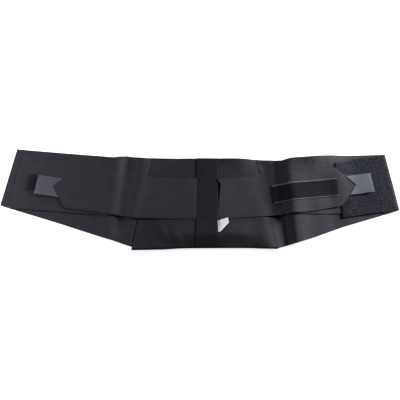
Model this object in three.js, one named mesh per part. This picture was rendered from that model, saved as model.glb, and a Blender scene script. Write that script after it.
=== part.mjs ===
// A lumbosacral brace, unfastened and laid open on a table with its outer side up.
// Millimetres. X runs along the belt, Y from its bottom edge to its top edge, Z up from the table.
// Plan places are measured from the middle of the back panel.
import * as THREE from "three";

// Cloth thicknesses, and the gap that each ply keeps to the one below
const BAND_THICK = 1.6;
const PANEL_THICK = 4;
const STRAP_THICK = 1.8;
const CENTRE_STRIP_THICK = 1.2;
const HOOK_TAPE_THICK = 1.4;
const CLOSURE_PAD_THICK = 2;
const TAB_THICK = 1;
const LABEL_THICK = 0.8;
const PLY_GAP = 0.3;
const SEAM_GAP = 0.4;

// Heights of the plies' undersides over the lie of the cloth
const UPPER_BAND_LEVEL = BAND_THICK + PLY_GAP;
const ON_BANDS = UPPER_BAND_LEVEL + BAND_THICK + PLY_GAP;
const ON_PANEL = PANEL_THICK + PLY_GAP;
const ON_LANDING_STRIP = ON_BANDS + HOOK_TAPE_THICK + PLY_GAP;
const ON_CLOSURE_PAD = ON_BANDS + CLOSURE_PAD_THICK + PLY_GAP;

// Grips, tape and label
const TAB_LENGTH = 62.5;
const TAB_WIDTH = 50;
const TAB_NOTCH = 21;
const BINDING_WIDTH = 4;
const BINDING_PROUD = 0.6;
const LABEL_LENGTH = 31;
const LABEL_TILT = THREE.MathUtils.degToRad(13);

const CLOTH_COLUMNS = 3;
const STRAP_COLUMNS = 7;
const PANEL_COLUMNS = 12;
const TAPE_COLUMNS = 2;

// The brace from its left end to its right end, a row for each section line or fold across it.
// low and high are the line's ends on the bottom and top edges, lowZ and highZ the underside's
// height over the table there, and steps the strips that the cloth bends in up to the next row.
const LIE = [
  { at: "left end", lowX: -508, lowY: -14.5, highX: -481, highY: 135, lowZ: 0, highZ: 0, steps: 1 },
  { at: "left hem", lowX: -488, lowY: -21.5, highX: -461, highY: 133, lowZ: 0, highZ: 0, steps: 2 },
  { at: "left fold foot", lowX: -358, lowY: -61, highX: -330, highY: 121.5, lowZ: 0, highZ: 0, steps: 3 },
  { at: "left fold slope", lowX: -278, lowY: -87, highX: -262, highY: 115.5, lowZ: 0.6, highZ: 1.5, steps: 5 },
  { at: "left fold crest", lowX: -246, lowY: -97.6, highX: -229, highY: 110.8, lowZ: 4, highZ: 8, steps: 5 },
  { at: "left valley", lowX: -217, lowY: -106, highX: -196, highY: 115.5, lowZ: 0, highZ: 0.5, steps: 5 },
  { at: "left rise", lowX: -186, lowY: -117.1, highX: -150, highY: 107.4, lowZ: 1, highZ: 8, steps: 2 },
  { at: "left side seam", lowX: -176, lowY: -120.1, highX: -132, highY: 107.9, lowZ: 0.5, highZ: 7.5, steps: 4 },
  { at: "left of spine", lowX: -92, lowY: -121, highX: -78, highY: 110, lowZ: 6, highZ: 6, steps: 3 },
  { at: "left centre seam", lowX: -20, lowY: -123, highX: -18, highY: 110, lowZ: 8.5, highZ: 8.5, steps: 2 },
  { at: "right centre seam", lowX: 32.5, lowY: -123, highX: 35, highY: 109.5, lowZ: 8.5, highZ: 8.5, steps: 3 },
  { at: "right of spine", lowX: 104, lowY: -122, highX: 88, highY: 108, lowZ: 6, highZ: 6, steps: 4 },
  { at: "right side seam", lowX: 178, lowY: -124, highX: 130, highY: 105, lowZ: 3, highZ: 0, steps: 3 },
  { at: "right valley", lowX: 203, lowY: -116.5, highX: 172, highY: 102.5, lowZ: 0, highZ: 1.5, steps: 4 },
  { at: "right flank", lowX: 216, lowY: -113.4, highX: 197, highY: 100.5, lowZ: 5.8, highZ: 10.5, steps: 4 },
  { at: "right fold crest", lowX: 231, lowY: -109.4, highX: 219, highY: 105.5, lowZ: 12, highZ: 17, steps: 7 },
  { at: "right fold slope", lowX: 268, lowY: -97, highX: 264, highY: 108.6, lowZ: 8.2, highZ: 11.6, steps: 4 },
  { at: "right fold foot", lowX: 342, lowY: -70, highX: 324, highY: 115.2, lowZ: 0, highZ: 0, steps: 2 },
  { at: "right hem", lowX: 466, lowY: -33.5, highX: 444, highY: 119.5, lowZ: 0, highZ: 0, steps: 1 },
  { at: "right end", lowX: 485.5, lowY: -27, highX: 464, highY: 120.5, lowZ: 0, highZ: 0, steps: 1 },
];

// Small creases in the back panel below the straps, a row for each, along a line in plan
const CREASES = [
  { at: "left crease", fromX: -112, fromY: -68, toX: -91, toY: -106, wide: 6, high: 2 },
  { at: "middle crease", fromX: -84, fromY: -76, toX: -57, toY: -112, wide: 7, high: 2.2 },
  { at: "right sag", fromX: 60, fromY: -100, toX: 150, toY: -104, wide: 12, high: -1.2 },
];

// Each wing is two elastic bands of about 150 mm that share the wing's end and fan out to the back.
// upperLow is the upper band's bottom edge, lowerHigh the lower band's hidden top edge.
const WINGS = {
  left: {
    from: "left end",
    to: "left side seam",
    upperLow: { outX: -488, outY: -21.5, inX: -162, inY: -47 },
    lowerHigh: { outX: -482, outY: 127, inX: -147, inY: 30 },
  },
  right: {
    from: "right side seam",
    to: "right end",
    upperLow: { outX: 466, outY: -33.5, inX: 162, inY: -40.5 },
    lowerHigh: { outX: 465, outY: 112, inX: 146, inY: 30 },
  },
};

// Back panel: its two side seams, a row for each
const PANEL = [
  { at: "left side", lowX: -177.5, lowY: -127.5, highX: -132, highY: 107.9 },
  { at: "right side", lowX: 178.2, lowY: -125, highX: 130, highY: 105 },
];

// Pull straps from left to right, a row for each section.
// lowZ and highZ are the underside's height over the lie of the cloth at the strap's two edges.
const STRAPS = {
  left: [
    { at: "tip", lowX: -424, lowY: 16, highX: -414.5, highY: 62, lowZ: 5.5, highZ: 5.5 },
    { at: "neck", lowX: -363.5, lowY: 6, highX: -356.5, highY: 54, lowZ: 5.5, highZ: 5.5 },
    { at: "shoulder", lowX: -347.5, lowY: -21.5, highX: -320, highY: 79, lowZ: 4, highZ: 4 },
    { at: "fold slope", lowX: -273.6, lowY: -31.6, highX: -265.4, highY: 72.1, lowZ: 4.4, highZ: 4 },
    { at: "fold crest", lowX: -241.1, lowY: -36.6, highX: -232.6, highY: 68.6, lowZ: 4.8, highZ: 4.2 },
    { at: "valley", lowX: -210.8, lowY: -41.7, highX: -200.8, highY: 65.7, lowZ: 6, highZ: 4.4 },
    { at: "rise", lowX: -174.9, lowY: -47.3, highX: -157.7, highY: 59.8, lowZ: 7, highZ: 4.5 },
    { at: "side seam", lowX: -162.3, lowY: -48.5, highX: -141.6, highY: 58, lowZ: 6.2, highZ: 4.5 },
    { at: "loose hem", lowX: -120, lowY: -50, highX: -108, highY: 56, lowZ: 5.6, highZ: 4.5 },
    { at: "sewn hem", lowX: -76, lowY: -51, highX: -70, highY: 55, lowZ: 4.4, highZ: 4.4 },
    { at: "centre seam", lowX: -19.8, lowY: -52, highX: -18.9, highY: 53, lowZ: 4.3, highZ: 4.3 },
  ],
  right: [
    { at: "centre seam", lowX: 33.8, lowY: -52, highX: 40, highY: 51, lowZ: 4.3, highZ: 6 },
    { at: "sewn hem", lowX: 70, lowY: -49.5, highX: 64, highY: 53, lowZ: 4.4, highZ: 4.6 },
    { at: "side seam", lowX: 158, lowY: -43.5, highX: 140, highY: 59, lowZ: 4.6, highZ: 4.5 },
    { at: "kink", lowX: 169, lowY: -42.5, highX: 172, highY: 62, lowZ: 5.4, highZ: 4.5 },
    { at: "flank", lowX: 200, lowY: -40, highX: 188, highY: 63.4, lowZ: 8.6, highZ: 4.6 },
    { at: "fold crest", lowX: 227, lowY: -36.9, highX: 221, highY: 68.5, lowZ: 6.6, highZ: 4.4 },
    { at: "fold slope", lowX: 266.7, lowY: -31.7, highX: 264.7, highY: 74.8, lowZ: 5.4, highZ: 4.2 },
    { at: "shoulder", lowX: 341.5, lowY: -17.5, highX: 322, highY: 88.4, lowZ: 6.3, highZ: 6.3 },
    { at: "neck", lowX: 365, lowY: 12, highX: 358, highY: 59, lowZ: 6.3, highZ: 6.3 },
    { at: "tip", lowX: 423, lowY: 21, highX: 417.5, highY: 66, lowZ: 6.3, highZ: 6.3 },
  ],
};

// Grips: the middle of each one's notched inner end, and the way that it points
const TABS = {
  left: { x: -360.3, y: 30, pointsDeg: 171.3 },
  right: { x: 360.7, y: 35.2, pointsDeg: 8.1 },
};

// Flat hook-and-loop pieces and tapes, a row for each end
const STRAP_STRIP = [
  { at: "inner end", lowX: 173, lowY: -11.5, highX: 169, highY: 34.5 },
  { at: "outer end", lowX: 337, lowY: 9.2, highX: 333, highY: 53.6 },
];
const LANDING_STRIP = [
  { at: "outer end", lowX: -448.5, lowY: 26, highX: -440, highY: 68 },
  { at: "inner end", lowX: -372, lowY: 17, highX: -364, highY: 59 },
];
const CLOSURE_PAD = [
  { at: "inner end", lowX: 343.5, lowY: -47, highX: 331, highY: 95 },
  { at: "top bend", lowX: 402, lowY: -38, highX: 393, highY: 108.5 },
  { at: "outer end", lowX: 480.5, lowY: -27, highX: 461, highY: 118.8 },
];
const CENTRE_STRIP = [
  { at: "left seam", lowX: -19.5, lowY: -121.3, highX: -18.2, highY: 109 },
  { at: "right seam", lowX: 33, lowY: -121, highX: 35.2, highY: 108.5 },
];

// Care label: its sewn edge at the right centre seam, and the corner that is turned under
const LABEL = { seamX: 30, topY: -56, rise: 8.3, cutX: 20, tipDrop: 2.8, lowY: -27.5 };

const { lerp } = THREE.MathUtils;

// A height at x on a curve through the rows' places that has no crest or dip between them.
function smoothThrough(places, heights, x) {
  const last = places.length - 1;
  if (x <= places[0]) return heights[0];
  if (x >= places[last]) return heights[last];
  const i = places.findIndex((place, k) => x >= place && x < places[k + 1]);
  const slope = (k) => (heights[k + 1] - heights[k]) / (places[k + 1] - places[k]);
  const tangent = (k) => {
    if (k === 0 || k === last || slope(k - 1) * slope(k) <= 0) return 0;
    return (2 * slope(k - 1) * slope(k)) / (slope(k - 1) + slope(k));
  };
  const span = places[i + 1] - places[i];
  const t = (x - places[i]) / span;
  const rise = heights[i + 1] - heights[i];
  const bend = t * (1 - t) * span * (tangent(i) * (1 - t) - tangent(i + 1) * t);
  const ease = t * t * (3 - 2 * t);
  return heights[i] + rise * ease + bend;
}

// The height that a table of section lines gives at a place in plan.
function heightOn(rows, x, y) {
  const across = rows.map((row) => (y - row.lowY) / (row.highY - row.lowY));
  const places = rows.map((row, i) => lerp(row.lowX, row.highX, across[i]));
  const heights = rows.map((row, i) => lerp(row.lowZ, row.highZ, THREE.MathUtils.clamp(across[i], 0, 1)));
  return smoothThrough(places, heights, x);
}

// The lie of the cloth: how high the lowest ply's underside is over the table.
function lieAt(x, y) {
  return heightOn(LIE, x, y);
}

function between(from, to, t) {
  return {
    lowX: lerp(from.lowX, to.lowX, t),
    lowY: lerp(from.lowY, to.lowY, t),
    highX: lerp(from.highX, to.highX, t),
    highY: lerp(from.highY, to.highY, t),
  };
}

// The lines that the cloth bends along, from one named row of the lie to another.
function foldLines(fromName, toName) {
  const first = LIE.findIndex((row) => row.at === fromName);
  const last = LIE.findIndex((row) => row.at === toName);
  const lines = [];
  for (let i = first; i < last; i += 1) {
    for (let k = 0; k < LIE[i].steps; k += 1) {
      lines.push(between(LIE[i], LIE[i + 1], k / LIE[i].steps));
    }
  }
  lines.push(between(LIE[last], LIE[last], 0));
  return lines;
}

// How far along the way from (ax, ay) to (bx, by) a section line crosses it.
function crossing(line, ax, ay, bx, by) {
  const dx = line.highX - line.lowX;
  const dy = line.highY - line.lowY;
  const side = (x, y) => (x - line.lowX) * dy - (y - line.lowY) * dx;
  return side(ax, ay) / (side(ax, ay) - side(bx, by));
}

// A piece's own rows, with the fold lines that cross it added between them.
function withFolds(rows) {
  const margin = 0.04;
  const inside = (t) => t > margin && t < 1 - margin;
  const sections = [];
  rows.slice(0, -1).forEach((row, i) => {
    const next = rows[i + 1];
    sections.push(row);
    for (const line of foldLines("left end", "right end")) {
      const low = crossing(line, row.lowX, row.lowY, next.lowX, next.lowY);
      const high = crossing(line, row.highX, row.highY, next.highX, next.highY);
      if (!inside(low) || !inside(high)) continue;
      const lowEnd = between(row, next, low);
      const highEnd = between(row, next, high);
      sections.push({ lowX: lowEnd.lowX, lowY: lowEnd.lowY, highX: highEnd.highX, highY: highEnd.highY });
    }
  });
  sections.push(rows[rows.length - 1]);
  return sections;
}

// A closed sheet of even thickness over the sections, with its underside at a height for each place.
function sheet(sections, columns, undersideAt, thick) {
  const strips = sections.length - 1;
  const cloth = new THREE.BoxGeometry(1, 1, 1, strips, columns, 1);
  const points = cloth.attributes.position;
  for (let i = 0; i < points.count; i += 1) {
    const section = sections[Math.round((points.getX(i) + 0.5) * strips)];
    const across = points.getY(i) + 0.5;
    const x = lerp(section.lowX, section.highX, across);
    const y = lerp(section.lowY, section.highY, across);
    const isTop = points.getZ(i) > 0;
    points.setXYZ(i, x, y, undersideAt(x, y) + (isTop ? thick : 0));
  }
  cloth.computeVertexNormals();
  return cloth;
}

// The point where a section line meets a straight edge, or the line's own low end if that is higher.
function meet(line, edge) {
  const t = crossing(line, edge.outX, edge.outY, edge.inX, edge.inY);
  const y = lerp(edge.outY, edge.inY, t);
  if (y < line.lowY) return { x: line.lowX, y: line.lowY };
  return { x: lerp(edge.outX, edge.inX, t), y };
}

// The section lines of one wing, drawn off the side seam by the seam's gap.
function wingLines(side) {
  const wing = WINGS[side];
  const lines = foldLines(wing.from, wing.to);
  const seam = side === "left" ? lines[lines.length - 1] : lines[0];
  const out = side === "left" ? -SEAM_GAP : SEAM_GAP;
  seam.lowX += out;
  seam.highX += out;
  return lines;
}

function upperBand(side) {
  const sections = wingLines(side).map((line) => {
    const edge = meet(line, WINGS[side].upperLow);
    return { ...line, lowX: edge.x, lowY: edge.y };
  });
  return sheet(sections, CLOTH_COLUMNS, (x, y) => lieAt(x, y) + UPPER_BAND_LEVEL, BAND_THICK);
}

function lowerBand(side) {
  const sections = wingLines(side).map((line) => {
    const edge = meet(line, WINGS[side].lowerHigh);
    return { ...line, highX: edge.x, highY: edge.y };
  });
  return sheet(sections, CLOTH_COLUMNS, lieAt, BAND_THICK);
}

// How much the panel's small creases lift it, fading to nothing at each crease's ends and sides.
function creaseAt(x, y) {
  const place = new THREE.Vector3(x, y, 0);
  const foot = new THREE.Vector3();
  return CREASES.reduce((sum, crease) => {
    const from = new THREE.Vector3(crease.fromX, crease.fromY, 0);
    const line = new THREE.Line3(from, new THREE.Vector3(crease.toX, crease.toY, 0));
    const along = line.closestPointToPointParameter(place, true);
    const off = line.at(along, foot).distanceTo(place) / crease.wide;
    return sum + crease.high * Math.exp(-off * off) * Math.sin(Math.PI * along);
  }, 0);
}

// The padded panel ends above the tape that binds its bottom edge.
function backPanel() {
  const tape = BINDING_WIDTH + PLY_GAP;
  const rows = PANEL.map((row) => {
    const t = tape / (row.highY - row.lowY);
    return { ...row, lowX: lerp(row.lowX, row.highX, t), lowY: row.lowY + tape };
  });
  return sheet(withFolds(rows), PANEL_COLUMNS, (x, y) => lieAt(x, y) + creaseAt(x, y), PANEL_THICK);
}

function bottomBinding() {
  const rows = PANEL.map((row) => {
    const t = BINDING_WIDTH / (row.highY - row.lowY);
    return { ...row, highX: lerp(row.lowX, row.highX, t), highY: row.lowY + BINDING_WIDTH };
  });
  return sheet(withFolds(rows), 1, lieAt, PANEL_THICK + BINDING_PROUD);
}

function centreStrip() {
  return sheet(withFolds(CENTRE_STRIP), TAPE_COLUMNS, (x, y) => lieAt(x, y) + ON_PANEL, CENTRE_STRIP_THICK);
}

function pullStrap(side) {
  const rows = STRAPS[side];
  return sheet(withFolds(rows), STRAP_COLUMNS, (x, y) => lieAt(x, y) + heightOn(rows, x, y), STRAP_THICK);
}

// Hook tape sewn on the right strap, which follows the strap over the fold.
function strapStrip() {
  const onStrap = STRAP_THICK + PLY_GAP;
  const underside = (x, y) => lieAt(x, y) + heightOn(STRAPS.right, x, y) + onStrap;
  return sheet(withFolds(STRAP_STRIP), TAPE_COLUMNS, underside, HOOK_TAPE_THICK);
}

function landingStrip() {
  return sheet(withFolds(LANDING_STRIP), TAPE_COLUMNS, (x, y) => lieAt(x, y) + ON_BANDS, HOOK_TAPE_THICK);
}

function closurePad() {
  return sheet(withFolds(CLOSURE_PAD), CLOTH_COLUMNS, (x, y) => lieAt(x, y) + ON_BANDS, CLOSURE_PAD_THICK);
}

// A grip is a flat film with a swallow-tail notch in the end that faces the back.
function tabFilm() {
  const half = TAB_WIDTH / 2;
  const outline = new THREE.Shape();
  outline.moveTo(0, -half);
  outline.lineTo(TAB_LENGTH, -half);
  outline.lineTo(TAB_LENGTH, half);
  outline.lineTo(0, half);
  outline.lineTo(TAB_NOTCH, 0);
  outline.closePath();
  return new THREE.ExtrudeGeometry(outline, { depth: TAB_THICK, bevelEnabled: false });
}

// The label stands off its seam, with its lower outer corner turned under.
function labelCloth() {
  const outline = new THREE.Shape();
  outline.moveTo(0, 0);
  outline.lineTo(0, LABEL.lowY);
  outline.lineTo(LABEL_LENGTH - LABEL.cutX - LABEL.tipDrop, LABEL.lowY);
  outline.lineTo(LABEL_LENGTH, -LABEL.tipDrop);
  outline.lineTo(LABEL_LENGTH - LABEL.tipDrop, LABEL.rise);
  outline.closePath();
  return new THREE.ExtrudeGeometry(outline, { depth: LABEL_THICK, bevelEnabled: false });
}

const lay = new THREE.Group();

function addPiece(name, geometry, colour, roughness) {
  const material = new THREE.MeshStandardMaterial({ color: colour, roughness, metalness: 0 });
  const piece = new THREE.Mesh(geometry, material);
  piece.name = name;
  lay.add(piece);
  return piece;
}

for (const side of ["left", "right"]) {
  addPiece(`${side}_lower_band`, lowerBand(side), 0x35353b, 0.85);
  addPiece(`${side}_upper_band`, upperBand(side), 0x323137, 0.85);
  addPiece(`${side}_pull_strap`, pullStrap(side), 0x34343a, 0.8);
  const tab = addPiece(`${side}_tab`, tabFilm(), 0x686a73, 0.5);
  const seat = TABS[side];
  const onSeat = side === "left" ? ON_LANDING_STRIP : ON_CLOSURE_PAD;
  tab.position.set(seat.x, seat.y, onSeat + STRAP_THICK + PLY_GAP);
  tab.rotation.z = THREE.MathUtils.degToRad(seat.pointsDeg);
}
addPiece("back_panel", backPanel(), 0x2c2c31, 0.85);
addPiece("back_bottom_binding", bottomBinding(), 0x141418, 0.8);
addPiece("centre_strip", centreStrip(), 0x222328, 0.8);
addPiece("right_strap_strip", strapStrip(), 0x16161c, 0.9);
addPiece("left_landing_strip", landingStrip(), 0x21242d, 0.9);
addPiece("right_closure_pad", closurePad(), 0x292b34, 0.95);

const label = addPiece("care_label", labelCloth(), 0xe8e8ec, 0.6);
const onCentreStrip = ON_PANEL + CENTRE_STRIP_THICK + PLY_GAP;
label.position.set(LABEL.seamX, LABEL.topY, lieAt(LABEL.seamX, LABEL.topY) + onCentreStrip);
label.rotation.y = -LABEL_TILT;

// The part's origin is under the middle of the brace, on the table.
const box = new THREE.Box3().setFromObject(lay);
const middle = box.getCenter(new THREE.Vector3());
lay.position.set(-middle.x, -middle.y, -box.min.z);

const brace = new THREE.Group();
brace.add(lay);

export default brace;
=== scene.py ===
import math

import bmesh
import bpy
import numpy as np
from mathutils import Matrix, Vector, noise
from mathutils.bvhtree import BVHTree


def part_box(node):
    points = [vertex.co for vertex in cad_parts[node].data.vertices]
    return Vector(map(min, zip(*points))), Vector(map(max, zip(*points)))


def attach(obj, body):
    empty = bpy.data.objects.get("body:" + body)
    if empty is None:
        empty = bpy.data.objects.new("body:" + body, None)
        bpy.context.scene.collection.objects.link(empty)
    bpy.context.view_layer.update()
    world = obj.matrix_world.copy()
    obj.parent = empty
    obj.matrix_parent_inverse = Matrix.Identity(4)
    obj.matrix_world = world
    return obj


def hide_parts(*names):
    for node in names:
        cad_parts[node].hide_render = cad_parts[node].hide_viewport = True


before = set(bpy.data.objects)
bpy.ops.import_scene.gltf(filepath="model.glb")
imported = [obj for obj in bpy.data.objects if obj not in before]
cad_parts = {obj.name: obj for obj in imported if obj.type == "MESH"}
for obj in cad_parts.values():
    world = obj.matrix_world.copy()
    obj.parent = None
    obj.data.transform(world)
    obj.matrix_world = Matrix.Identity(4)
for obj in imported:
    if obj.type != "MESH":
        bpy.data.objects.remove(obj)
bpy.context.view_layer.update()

# Lower bands: the under ply of each wing, a black knitted elastic about 150 mm wide.
# Each is cut from the roll, sewn to the back panel's slanted side, and laid under the upper band
# at the wing's end.
MM = 0.001
LOWER_BAND_CUT = {"left": (0.15, 0.37), "right": (0.15, 0.35)}
BAND_THICK = 1.6 * MM
BAND_COLUMNS = 3
CLOTH_STEP = 3 * MM
MERGED_WITHIN = 0.001 * MM
STRAIGHT_WITHIN = 0.02 * MM
FACING_UP = 0.5
EASING_PASSES = 3
SELVEDGE_ROWS = (0.8 * MM, 1.6 * MM, 2.6 * MM, 4 * MM)
SELVEDGE_WIDE = 2.2 * MM
SELVEDGE_DEEP = 0.25 * MM
SELVEDGE_SOFT = 0.8 * MM
ROUNDED_SHARE = 0.32
ROUNDED_STEPS = 2
ROUNDED_OVER = math.radians(50)
BILLOW_HIGH = 1.1 * MM
BILLOW_WIDE = 85 * MM
BILLOW_SQUEEZE = 1.6
BILLOW_SLICE = 0.3
# Lines across the belt along which the cloth stands up or sinks, with the rise at each end, in mm.
RIDGES = {
    "left seam": {"low": (-170, -120), "top": (-144, 107), "wide": 17, "rise": (0.4, 2.4)},
    "back": {"low": (146, -20), "top": (138, 110), "wide": 55, "rise": (0, 3)},
    "panel side": {"low": (168, -120), "top": (128, 100), "wide": 23, "rise": (2.8, 0.4)},
    "right valley": {"low": (206, -110), "top": (180, 100), "wide": 14, "rise": (0, 2.4)},
    "right dip": {"low": (279, -100), "top": (266, 100), "wide": 27, "rise": (-2.4, -0.4)},
    "top slope": {"low": (302, 30), "top": (298, 112), "wide": 38, "rise": (0, 6.5)},
    "right neck": {"low": (362, -60), "top": (338, 110), "wide": 33, "rise": (1.2, 5.5)},
}
# The belt's two folds, near which the frame's height is read a little to one side, in mm.
FOLDS = {
    "left": {"low": (-222, -100), "top": (-205, 112), "wide": 40, "moved": -8},
    "right": {"low": (236, -110), "top": (226, 100), "wide": 34, "moved": 5},
}
SEAM_RISE = {"left": 1.2 * MM, "right": 1.6 * MM, "reach": 36 * MM, "from": -47 * MM, "full": -60 * MM}
SHEEN_TINT = (0.9, 0.91, 1, 1)
CLOTH_ROUGH = 0.6
KNOT_DEEP = 0.25
KNIT_RELIEF = {"depth": 0.25 * MM, "strength": 0.4}
KNIT_SHADE = {"clouds": 0.5, "cords": 0.3, "streaks": 0.5, "darker": 0.15}
CLOUD_SCALE = 40
STREAK_SCALE = (14, 420, 1)
ELASTIC = {"dark": (0.016, 0.0156, 0.0192), "light": (0.045, 0.0436, 0.054), "specular": 0.22}


def upper_faces(node):
    """The upper faces of a sheet of the frame, merged."""
    faces = bmesh.new()
    faces.from_mesh(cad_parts[node].data)
    bmesh.ops.remove_doubles(faces, verts=faces.verts, dist=MERGED_WITHIN)
    faces.normal_update()
    others = [face for face in faces.faces if face.normal.z < FACING_UP]
    bmesh.ops.delete(faces, geom=others, context="FACES")
    return faces


def rim_of(faces):
    """The points round the edge of a sheet, in order."""
    edge = next(e for e in faces.edges if e.is_boundary)
    start, here = edge.verts
    rim = [start]
    while here is not start:
        rim.append(here)
        edge = next(e for e in here.link_edges if e.is_boundary and e is not edge)
        here = edge.other_vert(here)
    return np.array([vert.co for vert in rim])


def is_straight_end(points):
    """Whether points run straight across the belt, as a sheet's two ends do."""
    way = points[-1, :2] - points[0, :2]
    off = np.cross(points[:, :2] - points[0, :2], way / np.linalg.norm(way))
    return abs(way[1]) > abs(way[0]) and np.abs(off).max() < STRAIGHT_WITHIN


def long_edges(rim, columns):
    """A sheet's bottom and top edge from left to right, paired section by section."""
    far = len(rim) // 2
    widest = -math.inf
    for k in range(len(rim)):
        ring = np.roll(rim, -k, axis=0)
        near_end, far_end = ring[: columns + 1], ring[far : far + columns + 1]
        reach = far_end[:, 0].mean() - near_end[:, 0].mean()
        if reach > widest and is_straight_end(near_end) and is_straight_end(far_end):
            widest, turned = reach, ring
    one = turned[columns : far + 1]
    other = np.concatenate([turned[far + columns :], turned[:1]])[::-1]
    return (one, other) if one[:, 1].mean() < other[:, 1].mean() else (other, one)


def finer(edge_pair, step):
    """Sections no further apart than step, with the given ones kept."""
    low, high = edge_pair
    rows = []
    for i in range(len(low) - 1):
        spans = [np.linalg.norm(edge[i + 1] - edge[i]) for edge in edge_pair]
        count = math.ceil(max(spans) / step)
        for k in range(count):
            t = k / count
            rows.append([low[i] * (1 - t) + low[i + 1] * t, high[i] * (1 - t) + high[i + 1] * t])
    rows.append([low[-1], high[-1]])
    return np.array(rows)


def across_places(width, step):
    """Where threads cross the width, closer together along the selvedges, each a third of it at most."""
    edge = np.array((0,) + SELVEDGE_ROWS) * min(1, width / (3 * SELVEDGE_ROWS[-1]))
    inner = edge[-1]
    count = max(2, math.ceil((width - 2 * inner) / step))
    middle = np.linspace(inner, width - inner, count + 1)
    return np.concatenate([edge[:-1], middle, width - edge[-2::-1]]) / width


def eased(heights):
    """Heights with the facets along the belt rounded off."""
    for _ in range(EASING_PASSES):
        heights[1:-1] = (heights[:-2] + 2 * heights[1:-1] + heights[2:]) / 4
    return heights


def nearness(line, x, y):
    """How near a place is to a line across the belt, 1 on it, and how far up that line it lies."""
    (low_x, low_y), (top_x, top_y) = line["low"], line["top"]
    up = (y / MM - low_y) / (top_y - low_y)
    off = (x / MM - low_x - (top_x - low_x) * up) / line["wide"]
    return math.exp(-off * off), min(max(up, 0), 1)


def billow(x, y):
    """How much the laid cloth lifts by itself. All plies share it, so they stay clear of each other."""
    place = Vector((x / BILLOW_WIDE, BILLOW_SQUEEZE * y / BILLOW_WIDE, BILLOW_SLICE))
    lift = BILLOW_HIGH * max(0, noise.noise(place))
    for ridge in RIDGES.values():
        near, up = nearness(ridge, x, y)
        low_rise, top_rise = ridge["rise"]
        lift += near * MM * (low_rise * (1 - up) + top_rise * up)
    return lift


def laid_cloth(node, columns, step=CLOTH_STEP):
    """A fine grid of points over a sheet of the frame, sections by threads.

    columns is how many facets the frame has across the sheet."""
    faces = upper_faces(node)
    tree = BVHTree.FromBMesh(faces)
    sections = finer(long_edges(rim_of(faces), columns), step)
    faces.free()
    width = np.linalg.norm(sections[:, 1] - sections[:, 0], axis=1).max()
    across = across_places(width, step)[None, :, None]
    grid = sections[:, :1] * (1 - across) + sections[:, 1:] * across
    heights = []
    for x, y, z in grid.reshape(-1, 3):
        x += MM * sum(fold["moved"] * nearness(fold, x, y)[0] for fold in FOLDS.values())
        hit = tree.find_nearest(Vector((x, y, z)))[0]
        ray = tree.ray_cast(Vector((x, y, 1)), Vector((0, 0, -1)))[0]
        heights.append((ray or hit).z)
    grid[:, :, 2] = eased(np.array(heights).reshape(grid.shape[:2]))
    for point in grid.reshape(-1, 3):
        point[2] += billow(point[0], point[1])
    return grid


def walked(grid, axis):
    """How far each point of a grid lies from the grid's first edge, along one of its two ways."""
    steps = np.linalg.norm(np.diff(grid, axis=axis), axis=2)
    return np.insert(np.cumsum(steps, axis=axis), 0, 0, axis=axis)


def ramp(value, start, end):
    """A smooth rise from 0 at start to 1 at end."""
    t = np.clip((value - start) / (end - start), 0, 1)
    return t * t * (3 - 2 * t)


def sink_selvedges(grid):
    """Presses a fine groove beside each long edge, where the weave turns."""
    for rows in (grid, grid[:, ::-1]):
        off = (walked(rows, 1) - SELVEDGE_WIDE) / SELVEDGE_SOFT
        rows[:, :, 2] -= SELVEDGE_DEEP * np.exp(-off * off)


def new_piece(name, mesh):
    """An object for a mesh, in the scene."""
    piece = bpy.data.objects.new(name, mesh)
    bpy.context.scene.collection.objects.link(piece)
    return piece


def grid_mesh(name, grid):
    """A mesh of quads through a grid of points."""
    rows, columns = grid.shape[:2]
    index = np.arange(rows * columns).reshape(rows, columns)
    quads = np.stack([index[:-1, :-1], index[1:, :-1], index[1:, 1:], index[:-1, 1:]], axis=-1)
    mesh = bpy.data.meshes.new(name)
    mesh.from_pydata(grid.reshape(-1, 3).tolist(), [], quads.reshape(-1, 4).tolist())
    return mesh


def made_plain(piece):
    """The piece with its modifiers turned into mesh, and smooth faces."""
    seen = piece.evaluated_get(bpy.context.evaluated_depsgraph_get())
    shape = bpy.data.meshes.new_from_object(seen)
    piece.modifiers.clear()
    piece.data = shape
    shape.name = piece.name
    shape.polygons.foreach_set("use_smooth", [True] * len(shape.polygons))
    return piece


def sewn_sheet(name, grid, thick, material, lengthwise=True):
    """A closed cloth with rounded edges under a grid of points, with a weave map in metres."""
    mesh = grid_mesh(name, grid)
    along = walked(grid, 0)
    across = walked(grid, 1)
    weave = np.stack([along, across - across[:, -1:] / 2], axis=-1).reshape(-1, 2)
    if not lengthwise:
        weave = weave[:, ::-1]
    corners = np.zeros(len(mesh.loops), int)
    mesh.loops.foreach_get("vertex_index", corners)
    mesh.uv_layers.new(name="weave").data.foreach_set("uv", weave[corners].astype(np.float32).ravel())
    mesh.materials.append(material)
    piece = new_piece(name, mesh)
    wall = piece.modifiers.new("wall", "SOLIDIFY")
    wall.thickness = thick
    wall.offset = -1
    edge = piece.modifiers.new("edge", "BEVEL")
    edge.width = ROUNDED_SHARE * thick
    edge.segments = ROUNDED_STEPS
    edge.limit_method = "ANGLE"
    edge.angle_limit = ROUNDED_OVER
    return made_plain(piece)


def add(tree, kind, settings=None, inputs=None):
    """A node with its settings, and its inputs set to a value or linked to another node's output."""
    made = tree.nodes.new(kind)
    for key, value in (settings or {}).items():
        setattr(made, key, value)
    for key, value in (inputs or {}).items():
        if isinstance(value, bpy.types.NodeSocket):
            tree.links.new(value, made.inputs[key])
        else:
            made.inputs[key].default_value = value
    return made


def calc(tree, operation, *values):
    """The result of one sum on values or sockets."""
    return add(tree, "ShaderNodeMath", {"operation": operation}, dict(enumerate(values))).outputs[0]


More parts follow.
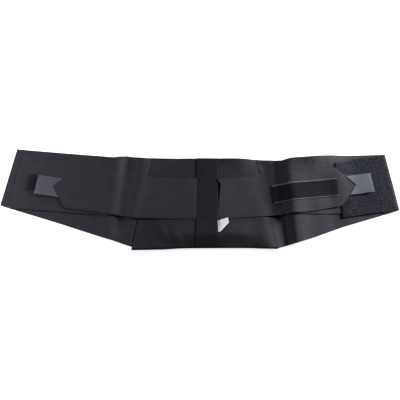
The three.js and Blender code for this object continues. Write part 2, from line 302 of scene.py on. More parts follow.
def new_finish(name, roughness, specular):
    """A material with a Principled shader, its tree and that shader."""
    material = bpy.data.materials.new(name)
    material.use_nodes = True
    shader = material.node_tree.nodes["Principled BSDF"]
    shader.inputs["Roughness"].default_value = roughness
    shader.inputs["Specular IOR Level"].default_value = specular
    shader.inputs["Specular Tint"].default_value = SHEEN_TINT
    return material, material.node_tree, shader


def uneven(tree, scale, detail=3):
    """A soft cloudy value about one half, on the piece's own place."""
    place = add(tree, "ShaderNodeTexCoord").outputs["Object"]
    cloud = add(tree, "ShaderNodeTexNoise", None, {"Vector": place, "Scale": scale, "Detail": detail})
    return cloud.outputs[0]


def blended(tree, share, first, second):
    """A colour between two others, by a share."""
    mix = add(tree, "ShaderNodeMix", {"data_type": "RGBA"}, {0: share, 6: first, 7: second})
    return mix.outputs[2]


def raised(tree, shader, height, depth, strength):
    """Gives the shader a fine relief."""
    inputs = {"Strength": strength, "Distance": depth, "Height": height}
    relief = add(tree, "ShaderNodeBump", None, inputs)
    tree.links.new(relief.outputs[0], shader.inputs["Normal"])


def coloured(tree, shader, shade, dark, light):
    """Blends the shader's colour from dark to light by a value."""
    tree.links.new(blended(tree, shade, (*dark, 1), (*light, 1)), shader.inputs["Base Color"])


def knitted(name, dark, light, specular, rib=1.3 * MM, stitch=0.9 * MM, edge=None):
    """A knit with fine cords along the length, crossed by small stitches that alternate cord by cord.

    Threads of uneven shade run along it, with painted shade between its cords,
    and edge may paint a highlight along its selvedges."""
    material, tree, shader = new_finish(name, CLOTH_ROUGH, specular)
    weave = add(tree, "ShaderNodeUVMap", {"uv_map": "weave"}).outputs[0]
    parts = add(tree, "ShaderNodeSeparateXYZ", None, {0: weave}).outputs
    cord = calc(tree, "DIVIDE", parts["Y"], rib)
    swell = calc(tree, "SINE", calc(tree, "MULTIPLY", calc(tree, "FRACT", cord), math.pi))
    turn = calc(tree, "MULTIPLY", calc(tree, "FLOOR", cord), math.pi)
    beat = calc(tree, "MULTIPLY", parts["X"], 2 * math.pi / stitch)
    knot = calc(tree, "SINE", calc(tree, "ADD", beat, turn))
    height = calc(tree, "MULTIPLY", swell, calc(tree, "MULTIPLY_ADD", knot, KNOT_DEEP, 1 - KNOT_DEEP))
    # The colour is lighter on the cords' tops and darker between them: painted shade in the grooves.
    cords = calc(tree, "MULTIPLY", height, KNIT_SHADE["cords"])
    clouds_and_groove_shade = calc(tree, "MULTIPLY_ADD", uneven(tree, CLOUD_SCALE), KNIT_SHADE["clouds"], cords)
    drawn = add(tree, "ShaderNodeVectorMath", {"operation": "MULTIPLY"}, {0: weave, 1: STREAK_SCALE})
    streak = add(tree, "ShaderNodeTexNoise", None, {"Vector": drawn.outputs[0], "Scale": 1, "Detail": 2})
    darker = calc(tree, "SUBTRACT", clouds_and_groove_shade, KNIT_SHADE["darker"])
    shade = calc(tree, "MULTIPLY_ADD", streak.outputs[0], KNIT_SHADE["streaks"], darker)
    colour = blended(tree, shade, (*dark, 1), (*light, 1))
    # Paints the edge colour along both selvedges, a painted highlight.
    if edge:
        outer = calc(tree, "SUBTRACT", calc(tree, "ABSOLUTE", parts["Y"]), edge["from"])
        share = add(tree, "ShaderNodeMapRange", None, {"Value": outer, "From Max": edge["blend"]})
        colour = blended(tree, share.outputs[0], colour, (*edge["colour"], 1))
    tree.links.new(colour, shader.inputs["Base Color"])
    raised(tree, shader, height, **KNIT_RELIEF)
    return material


def on_brace(piece, node=None):
    """The piece goes with the brace, and stands for a node of the frame if given."""
    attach(piece, "root")
    if node:
        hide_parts(node)


wing_elastic = knitted("wing_elastic", **ELASTIC)
grids = {}
for side, cut in LOWER_BAND_CUT.items():
    node = f"{side}_lower_band"
    grid = laid_cloth(node, BAND_COLUMNS)
    sink_selvedges(grid)
    from_seam = walked(grid, 0) if side == "right" else walked(grid[::-1], 0)[::-1]
    below = ramp(grid[:, :, 1], SEAM_RISE["from"], SEAM_RISE["full"])
    grid[:, :, 2] += SEAM_RISE[side] * below * ramp(from_seam, SEAM_RISE["reach"], 0)
    grids[node] = grid
    band = sewn_sheet(f"{side}_lower_elastic", grid, BAND_THICK, wing_elastic)
    on_brace(band, node)

# Upper bands: the outer ply of each wing, of the same elastic, laid over the lower band.
# The left one's end is turned in and hemmed, and the right one is pleated where it leaves the back.
# Both carry a line of stitches along the top edge.
UPPER_BAND_CUT = {"left": (0.155, 0.385), "right": (0.155, 0.365)}
HEM_WIDE = 17 * MM
HEM_HIGH = 0.7 * MM
HEM_SOFT = 0.6 * MM
TOP_PLEATS = (
    {"from": (146, 94.5), "to": (206, 93), "wide": 1.8, "high": 1.2},
    {"from": (143, 87), "to": (204, 85.5), "wide": 1.6, "high": 1},
    {"from": (142, 96), "to": (160, 62), "wide": 6, "high": 0.8},
    {"from": (215, 110), "to": (345, 119), "wide": 24, "high": 4.5},
)


def creased(grid, creases):
    """Lifts a grid along straight creases, in mm, fading to nothing at each one's ends and sides."""
    plan = grid[:, :, :2] / MM
    for crease in creases:
        start = np.array(crease["from"])
        way = np.array(crease["to"]) - start
        along = np.clip(((plan - start) @ way) / (way @ way), 0, 1)
        off = np.linalg.norm(plan - start - along[:, :, None] * way, axis=2) / crease["wide"]
        grid[:, :, 2] += crease["high"] * MM * np.exp(-off * off) * np.sin(math.pi * along)


for side, cut in UPPER_BAND_CUT.items():
    node = f"{side}_upper_band"
    grid = laid_cloth(node, BAND_COLUMNS)
    sink_selvedges(grid)
    if side == "left":
        grid[:, :, 2] += HEM_HIGH / (1 + np.exp((walked(grid, 0) - HEM_WIDE) / HEM_SOFT))
    else:
        creased(grid, TOP_PLEATS)
    grids[node] = grid
    band = sewn_sheet(f"{side}_upper_elastic", grid, BAND_THICK, wing_elastic)
    on_brace(band, node)

# Landing tape: a short hook tape on the left wing, which the left grip sticks to.
# It is woven with plain selvedges and rows of stiff hooks, and stitched along its top and both ends.
HOOK_TAPE_THICK = 1.4 * MM
TAPE_COLUMNS = 2
BETWEEN_SELVEDGES = slice(len(SELVEDGE_ROWS), -len(SELVEDGE_ROWS))
HOOK_STEP = 2.4 * MM
HOOK_HIGH = 0.75 * MM
HOOK_THREAD = 0.14 * MM
ARCH_POINTS = 5
ARCH_START = math.radians(-20)
ARCH_SWEEP = math.radians(220)
THREAD_SIDES = 3
THREAD_ROUGH = 0.5
THREAD_SCALE = 900
HOOK_GROUND = {
    "dark": (0.011, 0.0112, 0.0144),
    "light": (0.033, 0.034, 0.044),
    "specular": 0.02,
    "rib": 0.9 * MM,
}
HOOK_SHADES = {"dark": (0.008, 0.008, 0.01), "light": (0.02, 0.021, 0.026), "specular": 0.2}


def new_tree(name, inputs):
    """A geometry node tree with named inputs, and its input sockets."""
    tree = bpy.data.node_groups.new(name, "GeometryNodeTree")
    tree.interface.new_socket("Geometry", in_out="OUTPUT", socket_type="NodeSocketGeometry")
    tree.interface.new_socket("Geometry", in_out="INPUT", socket_type="NodeSocketGeometry")
    for label, kind in inputs.items():
        tree.interface.new_socket(label, in_out="INPUT", socket_type=f"NodeSocket{kind}")
    return tree, add(tree, "NodeGroupInput").outputs


def end_tree(tree, copies, material):
    """Ends a tree with its copies made real, in a material."""
    real = add(tree, "GeometryNodeRealizeInstances", None, {0: copies}).outputs[0]
    dyed = add(tree, "GeometryNodeSetMaterial", None, {"Geometry": real, "Material": material})
    add(tree, "NodeGroupOutput", None, {0: dyed.outputs[0]})
    return tree


def thread_arch(tree, given):
    """A small upright arch of thread."""
    bow = add(tree, "GeometryNodeCurveArc", None, {
        "Resolution": ARCH_POINTS,
        "Radius": given["High"],
        "Start Angle": ARCH_START,
        "Sweep Angle": ARCH_SWEEP,
    })
    upright = add(tree, "GeometryNodeTransform", None, {
        "Geometry": bow.outputs[0],
        "Rotation": (math.pi / 2, 0, 0),
    })
    strand = add(tree, "GeometryNodeCurvePrimitiveCircle", None, {
        "Resolution": THREAD_SIDES,
        "Radius": given["Thread"],
    })
    arch = add(tree, "GeometryNodeCurveToMesh", None, {
        "Curve": upright.outputs[0],
        "Profile Curve": strand.outputs[0],
        "Fill Caps": True,
    })
    return arch.outputs[0]


def hook_rows():
    """A tree that stands a hook at each given point."""
    tree, given = new_tree("hook_rows", {"High": "Float", "Thread": "Float", "Finish": "Material"})
    hooks = add(tree, "GeometryNodeInstanceOnPoints", None, {
        "Points": given["Geometry"],
        "Instance": thread_arch(tree, given),
    })
    return end_tree(tree, hooks.outputs[0], given["Finish"])


def grown(name, mesh, tree, values):
    """A piece that a node tree makes from a mesh, turned into plain mesh."""
    piece = new_piece(name, mesh)
    growth = piece.modifiers.new("growth", "NODES")
    growth.node_group = tree
    for socket in tree.interface.items_tree:
        if socket.in_out == "INPUT" and socket.name in values:
            growth[socket.identifier] = values[socket.name]
    return made_plain(piece)


def thread_finish(name, dark, light, specular):
    """Twisted thread, in two near shades."""
    material, tree, shader = new_finish(name, THREAD_ROUGH, specular)
    coloured(tree, shader, uneven(tree, THREAD_SCALE, 1), dark, light)
    return material


def bare_places(points, covers):
    """The points that no sheet of the frame lies over."""
    kept = list(points)
    for node in covers:
        faces = upper_faces(node)
        tree = BVHTree.FromBMesh(faces)
        faces.free()
        kept = [p for p in kept if tree.ray_cast(Vector(p), Vector((0, 0, 1)))[0] is None]
    return kept


def hooked(name, node, covers=(), sink=0):
    """The hooks of a tape, clear of its selvedges and of what lies on it."""
    field = laid_cloth(node, TAPE_COLUMNS, HOOK_STEP)[1:-1, BETWEEN_SELVEDGES]
    places = bare_places(field.reshape(-1, 3) - (0, 0, sink), covers)
    mesh = bpy.data.meshes.new(name)
    mesh.from_pydata([tuple(place) for place in places], [], [])
    values = {"High": HOOK_HIGH, "Thread": HOOK_THREAD, "Finish": hook_thread}
    on_brace(grown(name, mesh, hook_tree, values))


hook_cloth = knitted("hook_tape", **HOOK_GROUND)
hook_thread = thread_finish("hook_thread", **HOOK_SHADES)
hook_tree = hook_rows()
grids["left_landing_strip"] = laid_cloth("left_landing_strip", TAPE_COLUMNS)
landing = sewn_sheet("landing_hook_tape", grids["left_landing_strip"], HOOK_TAPE_THICK, hook_cloth)
on_brace(landing, "left_landing_strip")
hooked("landing_hooks", "left_landing_strip", ["left_pull_strap", "left_tab"])

# Closure pad: a large pile pad on the right wing's end, which closes the brace on the other wing.
# Its face is a mottled carpet of thread loops on a thin ground, stitched down along three edges.
PAD_THICK = 1.2 * MM
PAD_SINK = 0.8 * MM
PAD_ENDS = slice(2, -2)
LOOP_HIGH = 0.8 * MM
LOOP_APART = 2.5 * MM
LOOP_LEAN = 0.3
LOOPS_AT_MOST = 400000
LOOP_PLACE_SEED = 7
LOOP_TURN_SEED = 3
TUFT_SCALE = 210
TUFT_DETAIL = 4
TUFT_CONTRAST = 4.5
TUFT_SHIFT = -1.75
TUFT_RELIEF = {"depth": 1.2 * MM, "strength": 0.5}
PAD_SHADES = {"dark": (0.002, 0.002, 0.0035), "light": (0.0205, 0.0212, 0.0365), "specular": 0.16}
LOOP_SHADES = {"dark": (0.004, 0.004, 0.007), "light": (0.034, 0.0352, 0.059), "specular": 0.2}


def loop_pile():
    """A tree that scatters loops over the given faces, each turned at random."""
    tree, given = new_tree("loop_pile", {
        "Apart": "Float",
        "High": "Float",
        "Thread": "Float",
        "Finish": "Material",
    })
    spots = add(tree, "GeometryNodeDistributePointsOnFaces", {"distribute_method": "POISSON"}, {
        "Mesh": given["Geometry"],
        "Distance Min": given["Apart"],
        "Density Max": LOOPS_AT_MOST,
        "Seed": LOOP_PLACE_SEED,
    })
    angle = add(tree, "FunctionNodeRandomValue", {"data_type": "FLOAT_VECTOR"}, {
        "Min": (-LOOP_LEAN, -LOOP_LEAN, 0),
        "Max": (LOOP_LEAN, LOOP_LEAN, 2 * math.pi),
        "Seed": LOOP_TURN_SEED,
    })
    loops = add(tree, "GeometryNodeInstanceOnPoints", None, {
        "Points": spots.outputs["Points"],
        "Instance": thread_arch(tree, given),
        "Rotation": angle.outputs[0],
    })
    return end_tree(tree, loops.outputs[0], given["Finish"])


def pile_cloth(name, dark, light, specular):
    """The mottled ground that pile loops stand on."""
    material, tree, shader = new_finish(name, CLOTH_ROUGH, specular)
    tuft = uneven(tree, TUFT_SCALE, TUFT_DETAIL)
    spread = calc(tree, "MULTIPLY_ADD", tuft, TUFT_CONTRAST, TUFT_SHIFT)
    coloured(tree, shader, spread, dark, light)
    raised(tree, shader, tuft, **TUFT_RELIEF)
    return material


pad_cloth = pile_cloth("closure_pad", **PAD_SHADES)
loop_thread = thread_finish("loop_thread", **LOOP_SHADES)
pad_grid = laid_cloth("right_closure_pad", BAND_COLUMNS)
pad_grid[:, :, 2] -= PAD_SINK
grids["right_closure_pad"] = pad_grid
pad = sewn_sheet("closure_pad", pad_grid, PAD_THICK, pad_cloth)
on_brace(pad, "right_closure_pad")
pile_ground = bmesh.new()
pile_ground.from_mesh(grid_mesh("pile_ground", pad_grid[PAD_ENDS, BETWEEN_SELVEDGES]))
middles = {tuple(face.calc_center_median()): face for face in pile_ground.faces}
bare = set(bare_places(middles, ["right_pull_strap", "right_tab"]))
covered = [face for spot, face in middles.items() if spot not in bare]
bmesh.ops.delete(pile_ground, geom=covered, context="FACES")
pile_mesh = bpy.data.meshes.new("pad_loops")
pile_ground.to_mesh(pile_mesh)
pile_ground.free()
loops = grown("pad_loops", pile_mesh, loop_pile(), {
    "Apart": LOOP_APART,
    "High": LOOP_HIGH,
    "Thread": HOOK_THREAD,
    "Finish": loop_thread,
})
on_brace(loops)

# Back panel: the padded trapezoid over the lower back, a thin foam between two knitted covers.
# The wings are sewn to its slanted sides, and its bottom edge is bound with tape.
# It sinks in under the pocket's opening, and droops to its bottom edge in the middle and on the right.
PANEL_THICK = 4 * MM
PANEL_COLUMNS = 12
PANEL_KNIT = {
    "dark": (0.0129, 0.0125, 0.0156),
    "light": (0.0361, 0.0353, 0.0433),
    "specular": 0.17,
    "rib": 1.1 * MM,
}
SEAM_TAKEN = 0.5 * MM
SEAM_PRESSED = {"low": 1.2 * MM, "top": 0.5 * MM}
SEAM_REACH = 10 * MM
PANEL_CREASES = (
    {"from": (-101, -64), "to": (-76, -116), "wide": 8, "high": 1.7},
    {"from": (-73, -74), "to": (-43, -122), "wide": 8, "high": 1.7},
    {"from": (-128, -62), "to": (-122, -96), "wide": 4, "high": 0.6},
    {"from": (38, 110), "to": (139, 107), "wide": 25, "high": 5},
)
POCKET_EDGE = 45.6 * MM
POCKET_DEEP = 2.4 * MM
POCKET_SOFT = 4.5 * MM
POCKET_FULL = 3 * MM
# How wide the pocket stands open along its edge, and how the bottom edge droops and swells, in mm.
POCKET = (
    {"y": -15, "open": 0.3},
    {"y": -8, "open": 2.2},
    {"y": 12, "open": 4.6},
    {"y": 32, "open": 6.2},
    {"y": 36, "open": 5.4},
    {"y": 40, "open": 0.3},
)
DROOP = {"top": -92, "reach": 39, "deep": 7.4, "left": (-95, -25), "right": (100, 172)}
DROOP_CURVE = 1.6
DROOP_DRAWN_IN = 0.35
SWELL = {"y": -92, "above": 26, "below": 18, "high": 3.6}


def pocket_open(y):
    """How wide the pocket under the right strap's inner end stands open."""
    places = [row["y"] * MM for row in POCKET]
    return np.interp(y, places, [row["open"] * MM for row in POCKET])


def drooped(grid):
    """Swells the cloth above the back's bottom edge, and rolls the edge over and down to the table."""
    x, y = grid[:, :, 0] / MM, grid[:, :, 1] / MM
    width = ramp(x, *DROOP["left"]) * (1 - ramp(x, *DROOP["right"]))
    down = np.maximum(DROOP["top"] - y, 0) / DROOP["reach"]
    drop = DROOP["deep"] * MM * width * down**DROOP_CURVE
    off = (y - SWELL["y"]) / np.where(y > SWELL["y"], SWELL["above"], SWELL["below"])
    grid[:, :, 1] += DROOP_DRAWN_IN * drop
    grid[:, :, 2] += SWELL["high"] * MM * width * np.exp(-off * off) - drop


panel_cloth = knitted("panel_cloth", **PANEL_KNIT)
panel_grid = laid_cloth("back_panel", PANEL_COLUMNS)
panel_grid[0, :, 0] -= SEAM_TAKEN
panel_grid[-1, :, 0] += SEAM_TAKEN
panel_grid[:, 0, 1] -= SEAM_TAKEN
from_side = (panel_grid[-1, :, 0] - panel_grid[:, :, 0]) / SEAM_REACH
pressed = np.where(panel_grid[:, :, 1] > 0, SEAM_PRESSED["top"], SEAM_PRESSED["low"])
panel_grid[:, :, 2] -= pressed * np.exp(-(from_side**2))
creased(panel_grid, PANEL_CREASES)
drooped(panel_grid)
opening = pocket_open(panel_grid[:, :, 1])
from_middle = (panel_grid[:, :, 0] - POCKET_EDGE - opening / 2) / POCKET_SOFT
panel_grid[:, :, 2] -= POCKET_DEEP * np.exp(-(from_middle**2)) * ramp(opening, 0, POCKET_FULL)
grids["back_panel"] = panel_grid
panel = sewn_sheet("padded_back", panel_grid, PANEL_THICK, panel_cloth)
on_brace(panel, "back_panel")

# Bottom binding: a narrow woven tape along the back panel's bottom edge, coloured darker than the panel.
# It is folded over that edge, stitched through, and droops with it.
BINDING_THICK = 4.6 * MM
BINDING_COLUMNS = 1
BINDING_STEP = 2 * MM
BINDING_WEAVE = {
    "dark": (0.004, 0.004, 0.0054),
    "light": (0.012, 0.012, 0.0156),
    "specular": 0.055,
    "rib": 0.8 * MM,
}
binding_cloth = knitted("binding_tape", **BINDING_WEAVE)
grids["back_bottom_binding"] = laid_cloth("back_bottom_binding", BINDING_COLUMNS, BINDING_STEP)
drooped(grids["back_bottom_binding"])
binding = sewn_sheet("bottom_binding", grids["back_bottom_binding"], BINDING_THICK, binding_cloth)
on_brace(binding, "back_bottom_binding")

# Pull straps: two outer elastic straps, about 105 mm wide, sewn under the spine tape's edges.
# They lie free over the wings, and taper to a neck that carries the grip.
# The right one's inner end is left unsewn over a pocket, and gapes there.
STRAP_CUT = {"left": (0.106, 0.41), "right": (0.106, 0.4)}
STRAP_THICK = 1.1 * MM
STRAP_SINK = 0.7 * MM
STRAP_COLUMNS = 7
STRAP_RIB = 1.5 * MM
POCKET_REACH = 22 * MM
POCKET_LIFT = 0.02
STRAP_CREASES = {
    "left": (),
    "right": (
        {"from": (184, -16), "to": (250, -18), "wide": 1.8, "high": 0.7},
        {"from": (186, -24), "to": (246, -26), "wide": 1.6, "high": 0.6},
        {"from": (184, -34), "to": (236, -36), "wide": 1.6, "high": 0.5},
    ),
}
strap_elastic = knitted("strap_elastic", **ELASTIC, rib=STRAP_RIB)
for side, cut in STRAP_CUT.items():
    node = f"{side}_pull_strap"
    grid = laid_cloth(node, STRAP_COLUMNS)
    grid[:, :, 2] -= STRAP_SINK
    sink_selvedges(grid)
    creased(grid, STRAP_CREASES[side])
    if side == "right":
        fade = np.clip(1 - walked(grid, 0) / POCKET_REACH, 0, 1) ** 2
        opening = pocket_open(grid[:1, :, 1])
        pull = POCKET_EDGE + opening - grid[:1, :, 0]
        grid[:, :, 0] += pull * fade
        grid[:, :, 2] += POCKET_LIFT * opening * fade
    grids[node] = grid
    strap = sewn_sheet(f"{side}_strap", grid, STRAP_THICK, strap_elastic)
    on_brace(strap, node)

# Strap tape: a long hook tape sewn on the right strap, which the left strap's grip can reach.
# It is woven as the landing tape is, with a highlight painted along its selvedges, and stitched along
# its two long edges.
# A lighter colour along both selvedges: a painted highlight.
PAINTED_SELVEDGE_HIGHLIGHT = {"from": 20.2 * MM, "blend": 0.5 * MM, "colour": (0.15, 0.156, 0.172)}
edged_tape = knitted("edged_hook_tape", **HOOK_GROUND, edge=PAINTED_SELVEDGE_HIGHLIGHT)
grids["right_strap_strip"] = laid_cloth("right_strap_strip", TAPE_COLUMNS)
grids["right_strap_strip"][:, :, 2] -= STRAP_SINK
tape = sewn_sheet("strap_hook_tape", grids["right_strap_strip"], HOOK_TAPE_THICK, edged_tape)
on_brace(tape, "right_strap_strip")
hooked("strap_hooks", "right_strap_strip", sink=STRAP_SINK)

# Spine tape: a black woven tape over the middle of the back, which covers the straps' sewn ends.
# It is stitched down along both edges, droops with the back, and ends level with its top edge.
SPINE_TAPE_THICK = 1.2 * MM
SPINE_SHORT = {"from": 60 * MM, "full": 114 * MM, "by": 2.2 * MM}
SPINE_WEAVE = {
    "dark": (0.0072, 0.0074, 0.0096),
    "light": (0.0212, 0.0218, 0.0276),
    "specular": 0.12,
    "rib": 1 * MM,
    "stitch": 1.4 * MM,
}
spine_cloth = knitted("spine_tape", **SPINE_WEAVE)
spine_grid = laid_cloth("centre_strip", TAPE_COLUMNS)
drooped(spine_grid)
near_top = ramp(spine_grid[:, :, 1], SPINE_SHORT["from"], SPINE_SHORT["full"])
spine_grid[:, :, 1] -= SPINE_SHORT["by"] * near_top
grids["centre_strip"] = spine_grid
spine = sewn_sheet("spine_tape", spine_grid, SPINE_TAPE_THICK, spine_cloth, lengthwise=False)
on_brace(spine, "centre_strip")

# Grips: two flat tabs of grey film, each with a swallow-tail notch that faces the back.
# Each is bonded to the strap's neck, with a border pressed in all round and a line of stitches
# across its square end.
GRIP_THICK = 1 * MM
GRIP_STEP = 1.1 * MM
GRIP_BORDER = 3 * MM
GRIP_GROOVE = {"deep": 0.2 * MM, "wide": 0.7 * MM}
FILM_ROUGH = 0.5
FILM_SPECULAR = 1
FILM_GRAIN_SCALE = 1400
FILM_CLOUD_SCALE = 60
FILM_SHADE = {"grain": 0.4, "clouds": 0.6}
FILM_DARK = (0.045, 0.0464, 0.057)
FILM_LIGHT = (0.069, 0.0714, 0.087)
FILM_RELIEF = {"depth": 0.1 * MM, "strength": 0.25}


def line_between(start, end, places):
    """Points on a straight line, at given shares of the way."""
    return start + np.asarray(places)[:, None] * (end - start)


def notched_film(node):
    """A grid over a notched tab of the frame, from its notched end to its square end."""
    faces = upper_faces(node)
    rim = rim_of(faces)
    faces.free()
    turns = np.cross((rim - np.roll(rim, 1, 0))[:, :2], (np.roll(rim, -1, 0) - rim)[:, :2])
    if turns.sum() < 0:
        rim, turns = rim[::-1], -turns[::-1]
    notch, low_ear, low_end, high_end, high_ear = np.roll(rim, -int(turns.argmin()), axis=0)
    half = np.linspace(0, 1, round(np.linalg.norm(high_end - low_end) / (2 * GRIP_STEP)))
    near = np.concatenate([line_between(low_ear, notch, half), line_between(notch, high_ear, half)[1:]])
    far = line_between(low_end, high_end, np.linspace(0, 1, len(near)))
    along = np.linspace(0, 1, round(np.linalg.norm(low_end - low_ear) / GRIP_STEP))[:, None, None]
    grid = near * (1 - along) + far * along
    for point in grid.reshape(-1, 3):
        point[2] += billow(point[0], point[1]) - STRAP_SINK
    return grid


def press_border(grid):
    """Presses a groove into a tab at a set distance from its edges."""
    for rows, axis in ((grid, 0), (grid[::-1], 0), (grid, 1), (grid[:, ::-1], 1)):
        off = (walked(rows, axis) - GRIP_BORDER) / GRIP_GROOVE["wide"]
        rows[:, :, 2] -= GRIP_GROOVE["deep"] * np.exp(-off * off)


grip_film, film_tree, film_shader = new_finish("grip_film", FILM_ROUGH, FILM_SPECULAR)
grain = uneven(film_tree, FILM_GRAIN_SCALE, 2)
clouds = calc(film_tree, "MULTIPLY", uneven(film_tree, FILM_CLOUD_SCALE), FILM_SHADE["clouds"])
film_shade = calc(film_tree, "MULTIPLY_ADD", grain, FILM_SHADE["grain"], clouds)
coloured(film_tree, film_shader, film_shade, FILM_DARK, FILM_LIGHT)
raised(film_tree, film_shader, grain, **FILM_RELIEF)
for side in ("left", "right"):
    node = f"{side}_tab"
    grids[node] = notched_film(node)
    press_border(grids[node])
    grip = sewn_sheet(f"{side}_grip", grids[node], GRIP_THICK, grip_film)
    on_brace(grip, node)

# Care label: a blank white satin label, sewn in at the spine tape's right edge.
# It rises from that seam to stand a little off the back, with its lower outer corner turned under.
LABEL_THICK = 0.3 * MM
LABEL_POINTS = 48
LABEL_TILT = math.radians(1.5)
LABEL_ROUGH = 0.4
LABEL_SPECULAR = 0.3
LABEL_CLOUD_SCALE = 120
LABEL_DARK = (0.86, 0.86, 0.87)
LABEL_LIGHT = (0.94, 0.94, 0.95)
# The label's places and heights, in mm. Its corners and fold are measured from the top of its seam.
LABEL_SEAM = (41, -61.5)
LABEL_SEWN_BELOW = 0.6
LABEL_TOP = 2.6
LABEL_RISE = 9
LABEL_ARCH = 0.5
LABEL_BEND = 0.6
LABEL_CORNERS = {
    "low seam": (0, -27.5),
    "high seam": (0, 0),
    "low end": (33.5, -24),
    "high end": (28.2, 8.3),
}
LABEL_FOLD = {"from": (8.2, -27.2), "to": (30.4, -2.8)}


def folded_label():
    """A grid over the label, folded, tilted up from its seam, and bent down to the spine tape there."""
    corners = [np.array(corner, float) for corner in LABEL_CORNERS.values()]
    low_seam, high_seam, low_end, high_end = corners
    places = np.linspace(0, 1, LABEL_POINTS)
    along = places[:, None, None]
    seam_side = line_between(low_seam, high_seam, places)
    flat = seam_side * (1 - along) + line_between(low_end, high_end, places) * along
    start = np.array(LABEL_FOLD["from"])
    way = np.array(LABEL_FOLD["to"]) - start
    out = np.array((way[1], -way[0])) / np.linalg.norm(way)
    past = np.maximum((flat - start) @ out, 0)
    turn = np.minimum(past / LABEL_BEND, math.pi)
    under = past - LABEL_BEND * turn
    flat = flat + (LABEL_BEND * np.sin(turn) - under - past)[:, :, None] * out
    height = LABEL_TOP - LABEL_BEND * (1 - np.cos(turn))
    cos, sin = math.cos(LABEL_TILT), math.sin(LABEL_TILT)
    x = LABEL_SEAM[0] + cos * flat[:, :, 0] - sin * height
    y = LABEL_SEAM[1] + flat[:, :, 1]
    arch = LABEL_ARCH * np.sin(math.pi * flat[:, :, 0] / low_end[0])
    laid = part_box("care_label")[0].z / MM + sin * flat[:, :, 0] + cos * height + arch
    tape_edge = grids["centre_strip"][-1] / MM
    sewn = np.interp(y, tape_edge[:, 1], tape_edge[:, 2]) - LABEL_SEWN_BELOW
    rise = ramp(flat[:, :, 0], 0, LABEL_RISE)
    z = sewn * (1 - rise) + laid * rise
    return np.stack([x, y, z], axis=-1) * MM


label_satin, satin_tree, satin_shader = new_finish("label_satin", LABEL_ROUGH, LABEL_SPECULAR)
coloured(satin_tree, satin_shader, uneven(satin_tree, LABEL_CLOUD_SCALE), LABEL_DARK, LABEL_LIGHT)
label = sewn_sheet("blank_label", folded_label(), LABEL_THICK, label_satin)
on_brace(label, "care_label")

# Stitching: lines of machine stitches, in black thread on the cloth, and in grey on the strap tape
# and the grips. Each stitch is a short bead of thread that lies along its seam.
STITCH_LONG = 2.4 * MM
STITCH_WIDE = 0.7 * MM
STITCH_PITCH = 3.2 * MM
TAPE_STITCH_WIDE = 0.9 * MM
STITCH_BEAD = {"Segments": 6, "Rings": 4, "Radius": 0.5}
BLACK_SHADES = {"dark": (0.012, 0.012, 0.015), "light": (0.032, 0.032, 0.04), "specular": 0.4}
GREY_SHADES = {"dark": (0.06, 0.06, 0.072), "light": (0.12, 0.12, 0.14), "specular": 0.4}


def stitch_line():
    """A tree that lays a bead of thread at each pitch along the given lines."""
    tree, given = new_tree("stitch_line", {
        "Pitch": "Float",
        "Long": "Float",
        "Wide": "Float",
        "Finish": "Material",
    })
    path = add(tree, "GeometryNodeMeshToCurve", None, {0: given["Geometry"]}).outputs[0]
    spots = add(tree, "GeometryNodeCurveToPoints", {"mode": "LENGTH"}, {
        "Curve": path,
        "Length": given["Pitch"],
    })
    bead = add(tree, "GeometryNodeMeshUVSphere", None, STITCH_BEAD)
    size = add(tree, "ShaderNodeCombineXYZ", None, {
        "X": given["Wide"],
        "Y": given["Wide"],
        "Z": given["Long"],
    })
    stitches = add(tree, "GeometryNodeInstanceOnPoints", None, {
        "Points": spots.outputs["Points"],
        "Instance": bead.outputs[0],
        "Rotation": spots.outputs["Rotation"],
        "Scale": size.outputs[0],
    })
    return end_tree(tree, stitches.outputs[0], given["Finish"])


def seam(node, edge, inset, trim):
    """A line along one edge of a piece, at a distance inside it, and stopped short of its ends."""
    grid = grids[node]
    turned = grid.transpose(1, 0, 2)
    rows = {"bottom": grid, "top": grid[:, ::-1], "left": turned, "right": turned[:, ::-1]}[edge]
    away = walked(rows, 1)
    line = np.array([[np.interp(inset, a, row[:, k]) for k in range(3)] for a, row in zip(away, rows)])
    run = np.insert(np.cumsum(np.linalg.norm(np.diff(line, axis=0), axis=1)), 0, 0)
    return line[(run >= trim) & (run <= run[-1] - trim)]


def stitched(name, lines, finish, wide=STITCH_WIDE):
    """Stitches along lines of points."""
    ends = np.cumsum([len(line) for line in lines])
    edges = [(k, k + 1) for k in range(ends[-1] - 1) if k + 1 not in ends]
    mesh = bpy.data.meshes.new(name)
    mesh.from_pydata(np.concatenate(lines).tolist(), edges, [])
    values = {"Pitch": STITCH_PITCH, "Long": STITCH_LONG, "Wide": wide, "Finish": finish}
    on_brace(grown(name, mesh, stitch_tree, values))


stitch_tree = stitch_line()
black_thread = thread_finish("black_thread", **BLACK_SHADES)
grey_thread = thread_finish("grey_thread", **GREY_SHADES)
stitched("hem_stitches", [
    seam("left_upper_band", "left", inset=HEM_WIDE - 2 * MM, trim=3 * MM),
    seam("left_upper_band", "left", inset=2.5 * MM, trim=3 * MM),
    seam("left_upper_band", "top", inset=11 * MM, trim=20 * MM),
    seam("right_upper_band", "top", inset=11 * MM, trim=8 * MM),
], black_thread)
stitched("panel_stitches", [
    seam("back_panel", "left", inset=4 * MM, trim=5 * MM),
    seam("back_panel", "right", inset=4 * MM, trim=5 * MM),
    seam("back_bottom_binding", "bottom", inset=2 * MM, trim=3 * MM),
], black_thread)
stitched("spine_stitches", [
    seam("centre_strip", edge, inset=2.6 * MM, trim=3 * MM) for edge in ("left", "right")
], black_thread)
stitched("tape_stitches", [
    seam("right_strap_strip", edge, inset=1.3 * MM, trim=1.3 * MM) for edge in ("bottom", "top")
], grey_thread, TAPE_STITCH_WIDE)
stitched("landing_stitches", [
    seam("left_landing_strip", edge, inset=1.5 * MM, trim=1.5 * MM) for edge in ("right", "top", "left")
], black_thread)
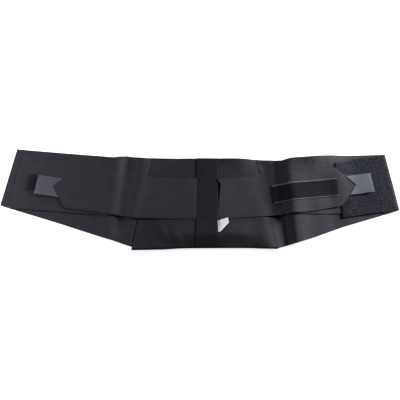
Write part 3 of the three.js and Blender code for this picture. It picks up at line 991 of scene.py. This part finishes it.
stitched("pad_stitches", [
    seam("right_closure_pad", edge, inset=2.5 * MM, trim=3 * MM) for edge in ("bottom", "right", "top")
], black_thread)
stitched("grip_stitches", [
    seam(node, "right", inset=5.5 * MM, trim=6 * MM) for node in ("left_tab", "right_tab")
], grey_thread)

# Floor, light and camera: a plain pale table, and far round it a low pale wall that lights the low
# views. A soft lamp stands beyond each end of the brace, and the view is from above its lower edge.
FLOOR_DROP = 0.3 * MM
FLOOR_REACH = 13
FLOOR_CORNERS = ((-1, -1), (1, -1), (1, 1), (-1, 1))
WALL_AWAY = 12
WALL_HIGH = 1.9
WALL_SIDES = 64
STAGE_ROUGH = 0.9
STAGE_SPECULAR = 0.2
STAGE_CLOUD_SCALE = 3
STAGE_DARK = (0.89, 0.89, 0.89)
STAGE_LIGHT = (0.91, 0.91, 0.91)
STAGE_GLOW = 0.85
WHITE = (1, 1, 1, 1)
SKY_STRENGTH = 0.01
VIEW_RISE = math.radians(74)
VIEW_AWAY = 1.2531
VIEW_LENS = 45
VIEW_SENSOR = 36
VIEW_AT = Vector((0.00075, -0.00375, 0))
stage_finish, stage_tree, stage_shader = new_finish("pale_table", STAGE_ROUGH, STAGE_SPECULAR)
coloured(stage_tree, stage_shader, uneven(stage_tree, STAGE_CLOUD_SCALE), STAGE_DARK, STAGE_LIGHT)
stage_shader.inputs["Emission Color"].default_value = WHITE
stage_shader.inputs["Emission Strength"].default_value = STAGE_GLOW
floor_points = [(FLOOR_REACH * x, FLOOR_REACH * y, -FLOOR_DROP) for x, y in FLOOR_CORNERS]
floor_mesh = bpy.data.meshes.new("table_top")
floor_mesh.from_pydata(floor_points, [], [(0, 1, 2, 3)])
floor_mesh.materials.append(stage_finish)
new_piece("table_top", floor_mesh)
turns = np.linspace(0, 2 * math.pi, WALL_SIDES + 1)
level = np.full_like(turns, -FLOOR_DROP)
foot = np.stack([WALL_AWAY * np.cos(turns), WALL_AWAY * np.sin(turns), level], axis=-1)
wall_mesh = grid_mesh("pale_wall", np.stack([foot, foot + (0, 0, WALL_HIGH)], axis=1))
wall_mesh.materials.append(stage_finish)
new_piece("pale_wall", wall_mesh)


def soft_lamp(name, place, aim, size, power, tint):
    """A square lamp that shines from place towards aim."""
    light = bpy.data.lights.new(name, "AREA")
    light.size = size
    light.energy = power
    light.color = tint
    lamp = bpy.data.objects.new(name, light)
    lamp.location = place
    lamp.rotation_euler = (Vector(aim) - Vector(place)).to_track_quat("-Z", "Y").to_euler()
    bpy.context.scene.collection.objects.link(lamp)


soft_lamp("right_lamp", place=(2.35, 1, 0.73), aim=(0.2, 0, 0), size=0.8, power=157.5, tint=(0.97, 1, 1))
soft_lamp("left_lamp", place=(-1.1, 0.15, 0.38), aim=(-0.25, 0, 0), size=0.5, power=7, tint=(1, 0.88, 1))
sky = bpy.data.worlds.new("soft_room")
sky.use_nodes = True
sky.node_tree.nodes["Background"].inputs["Color"].default_value = WHITE
sky.node_tree.nodes["Background"].inputs["Strength"].default_value = SKY_STRENGTH
bpy.context.scene.world = sky
bpy.context.scene.view_settings.view_transform = "Standard"

camera = bpy.data.objects.new("view", bpy.data.cameras.new("view"))
camera.data.lens = VIEW_LENS
camera.data.sensor_width = VIEW_SENSOR
away = Vector((0, -math.cos(VIEW_RISE), math.sin(VIEW_RISE)))
camera.location = VIEW_AT + VIEW_AWAY * away
camera.rotation_euler = (-away).to_track_quat("-Z", "Y").to_euler()
bpy.context.scene.collection.objects.link(camera)
bpy.context.scene.camera = camera
